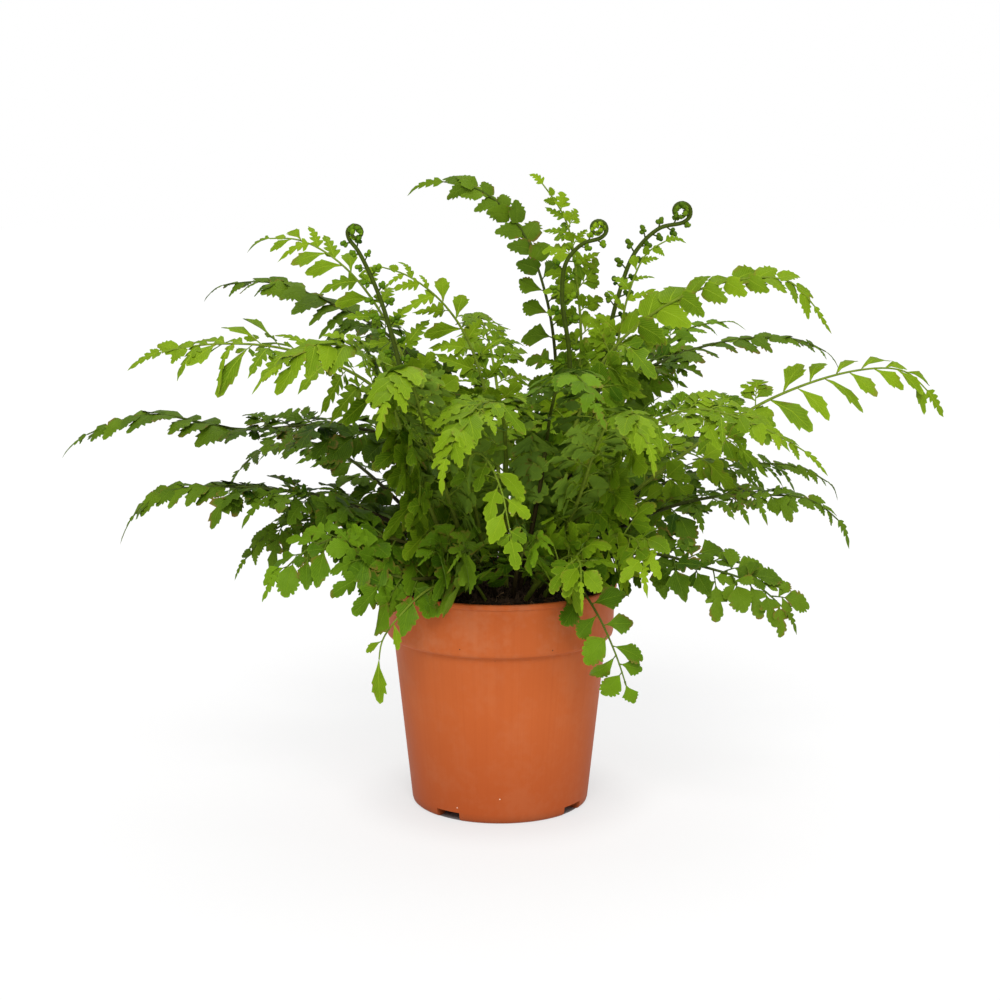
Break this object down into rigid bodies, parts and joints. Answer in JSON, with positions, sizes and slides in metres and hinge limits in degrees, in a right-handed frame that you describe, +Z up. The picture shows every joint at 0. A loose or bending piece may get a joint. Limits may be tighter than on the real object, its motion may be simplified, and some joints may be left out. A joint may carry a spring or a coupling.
{
  "type": "potted fern",
  "caption": "Bushy potted fern: arching fronds of toothed leaflets and curled young fronds, standing in soil in a tapered terracotta-coloured plastic pot with a smooth rim band.",
  "frame": {"origin": "centre of the pot's underside, at the level it stands on", "axes": "+Z up, -Y towards the front of the pictured view, +X to its right"},
  "size_m": [0.4439, 0.2957, 0.3277],
  "materials": {
    "pot_plastic": "semi-matte moulded terracotta-coloured plastic",
    "potting_soil": "loose dark potting mix of bark and peat",
    "rhizome": "scaly brown rhizome",
    "leaf_light": "soft satin leaf, yellow-green",
    "leaf_mid": "soft satin leaf, mid green",
    "leaf_dark": "slightly glossy leaf, dark green"
  },
  "bodies": {
    "root": {"pot": "pot_plastic", "soil": "potting_soil", "crown": "rhizome", "frond_far_left": "leaf_dark", "frond_low_left": "leaf_dark", "frond_left_light": "leaf_light", "frond_upper_left": "leaf_dark", "frond_top_left": "leaf_light", "frond_inner_left": "leaf_light", "frond_lean_left": "leaf_light", "frond_side_left": "leaf_mid", "frond_drop_left": "leaf_mid", "frond_twist_left": "leaf_dark", "frond_rim_left": "leaf_light", "frond_top_dark": "leaf_dark", "frond_top_light": "leaf_light", "frond_tip_right": "leaf_light", "frond_arch_right": "leaf_light", "frond_arch_dark": "leaf_dark", "frond_long_right": "leaf_light", "frond_bow_right": "leaf_dark", "frond_low_right": "leaf_dark", "frond_side_right": "leaf_dark", "frond_light_right": "leaf_light", "frond_mid_right": "leaf_mid", "frond_rim_right": "leaf_mid", "frond_nod": "leaf_light", "frond_face_left": "leaf_light", "frond_face_right": "leaf_light", "frond_peak": "leaf_mid", "frond_lean_front": "leaf_light", "frond_fan_left": "leaf_mid", "frond_fan_low": "leaf_dark", "frond_fan_mid": "leaf_mid", "frond_fan_right": "leaf_light", "frond_fan_corner": "leaf_light", "frond_back_left": "leaf_mid", "frond_back_mid": "leaf_light", "frond_back_right": "leaf_light", "frond_back_low_right": "leaf_dark", "frond_back_low_left": "leaf_dark", "frond_back_drop": "leaf_dark", "frond_back_fan": "leaf_mid", "frond_back_rim": "leaf_light", "crozier_left": "leaf_mid", "crozier_middle": "leaf_light", "crozier_right": "leaf_dark"}
  },
  "joints": []
}
